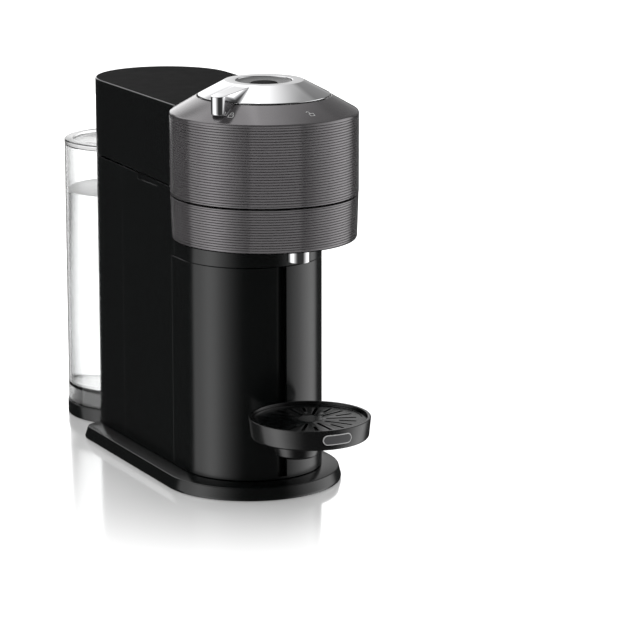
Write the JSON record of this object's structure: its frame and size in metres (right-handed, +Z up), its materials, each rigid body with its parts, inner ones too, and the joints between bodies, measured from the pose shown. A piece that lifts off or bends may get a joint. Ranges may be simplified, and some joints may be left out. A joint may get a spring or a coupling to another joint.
{
  "type": "pod coffee machine",
  "caption": "Narrow pod coffee machine with a ribbed drum head that hinges open, a chrome lock lever, a nested rear water tank and a height-adjustable cup support.",
  "frame": {"origin": "floor point under the middle of the bounding box", "axes": "+Z up, front with the cup support towards -Y, tank towards +Y, +X to the right of a viewer who faces the front"},
  "size_m": [0.142, 0.43, 0.3138],
  "materials": {
    "satin_black": "satin black moulded plastic",
    "matt_black": "fine-grained matt black",
    "titanium_grey": "satin metallic grey",
    "chrome": "polished",
    "dark_grey": "satin",
    "gloss_black": "gloss",
    "clear_plastic": "clear moulded plastic",
    "rubber": "matt",
    "silicone": "satin translucent grey",
    "steel": "plain",
    "aluminium": "cast",
    "inner_plastic": "plain",
    "board_green": "coated board"
  },
  "bodies": {
    "base": {"base_plate": "satin_black", "foot_1": "rubber", "foot_2": "rubber", "foot_3": "rubber", "foot_4": "rubber", "base_screw_1": "steel", "base_screw_2": "steel", "base_screw_3": "steel", "base_screw_4": "steel", "cord_gland": "rubber", "mid_housing": "satin_black", "rear_housing": "satin_black", "head_ring": "titanium_grey", "neck": "satin_black", "brew_floor": "inner_plastic", "cup_bearing": "steel", "coffee_collector": "inner_plastic", "outlet_nozzle": "chrome", "drive_motor": "steel", "motor_bracket": "steel", "drive_belt": "rubber", "chassis_upright": "steel", "hinge_pin": "steel", "water_pump": "inner_plastic", "flow_heater": "aluminium", "flow_meter": "inner_plastic", "control_board": "board_green", "inlet_hose": "silicone", "pump_hose": "silicone", "brew_hose": "silicone", "seat_seal": "silicone"},
    "head": {"head_cover": "titanium_grey", "upper_housing": "matt_black", "head_frame": "aluminium", "head_bearing": "steel", "button_surround": "dark_grey", "button_board": "board_green", "button_spring": "steel"},
    "lever": {"lever_ring": "chrome", "lock_ring": "steel"},
    "button": {"brew_button": "gloss_black"},
    "brew_rotor": {"brew_head": "inner_plastic", "head_seal": "silicone"},
    "pod_rotor": {"pod_cup": "aluminium", "cup_pulley": "inner_plastic"},
    "motor": {"motor_rotor": "steel"},
    "container": {"pod_container": "satin_black"},
    "support": {"cup_support": "satin_black"},
    "grid": {"drip_grid": "satin_black"},
    "tank": {"water_tank": "clear_plastic", "valve_cage": "inner_plastic", "valve_spring": "steel"},
    "lid": {"tank_lid": "clear_plastic"},
    "valve": {"tank_valve": "dark_grey"}
  },
  "joints": [
    {"name": "head_hinge", "type": "hinge", "parent": "base", "child": "head", "pos_m": [0, 0.13, 0.2385], "axis": [-1, 0, 0], "range_deg": [0, 32]},
    {"name": "lever_turn", "type": "hinge", "parent": "head", "child": "lever", "pos_m": [0, -0.0944, 0.3138], "axis": [0, 0, 1], "range_deg": [0, 76]},
    {"name": "button_press", "type": "slide", "parent": "head", "child": "button", "axis": [0, 0, -1], "range_m": [0, 0.0015], "stiffness_N_per_m": 600, "deforming": ["button_spring"]},
    {"name": "pod_spin", "type": "hinge", "parent": "base", "child": "pod_rotor", "pos_m": [0, -0.0944, 0.21], "axis": [0, 0, 1], "continuous": true},
    {"name": "brew_head_spin", "type": "hinge", "parent": "head", "child": "brew_rotor", "pos_m": [0, -0.0944, 0.23], "axis": [0, 0, 1], "continuous": true},
    {"name": "motor_spin", "type": "hinge", "parent": "base", "child": "motor", "pos_m": [0, 0.005, 0.188], "axis": [0, 0, 1], "continuous": true},
    {"name": "container_slide", "type": "slide", "parent": "base", "child": "container", "axis": [0, -1, 0], "range_m": [0, 0.11]},
    {"name": "support_height", "type": "slide", "parent": "container", "child": "support", "axis": [0, 0, 1], "range_m": [-0.018, 0.06]},
    {"name": "grid_lift", "type": "slide", "parent": "support", "child": "grid", "axis": [0, 0, 1], "range_m": [0, 0.05]},
    {"name": "tank_lift", "type": "slide", "parent": "base", "child": "tank", "axis": [0, 0, -1], "range_m": [-0.3, 0]},
    {"name": "lid_lift", "type": "slide", "parent": "tank", "child": "lid", "axis": [0, 0, -1], "range_m": [-0.05, 0]},
    {"name": "valve_press", "type": "slide", "parent": "tank", "child": "valve", "axis": [0, 0, 1], "range_m": [0, 0.002], "stiffness_N_per_m": 300, "deforming": ["valve_spring"]}
  ],
  "couplings": [
    {"joint": "brew_head_spin", "follows": "pod_spin", "ratio": 1},
    {"joint": "motor_spin", "follows": "pod_spin", "ratio": 2}
  ]
}
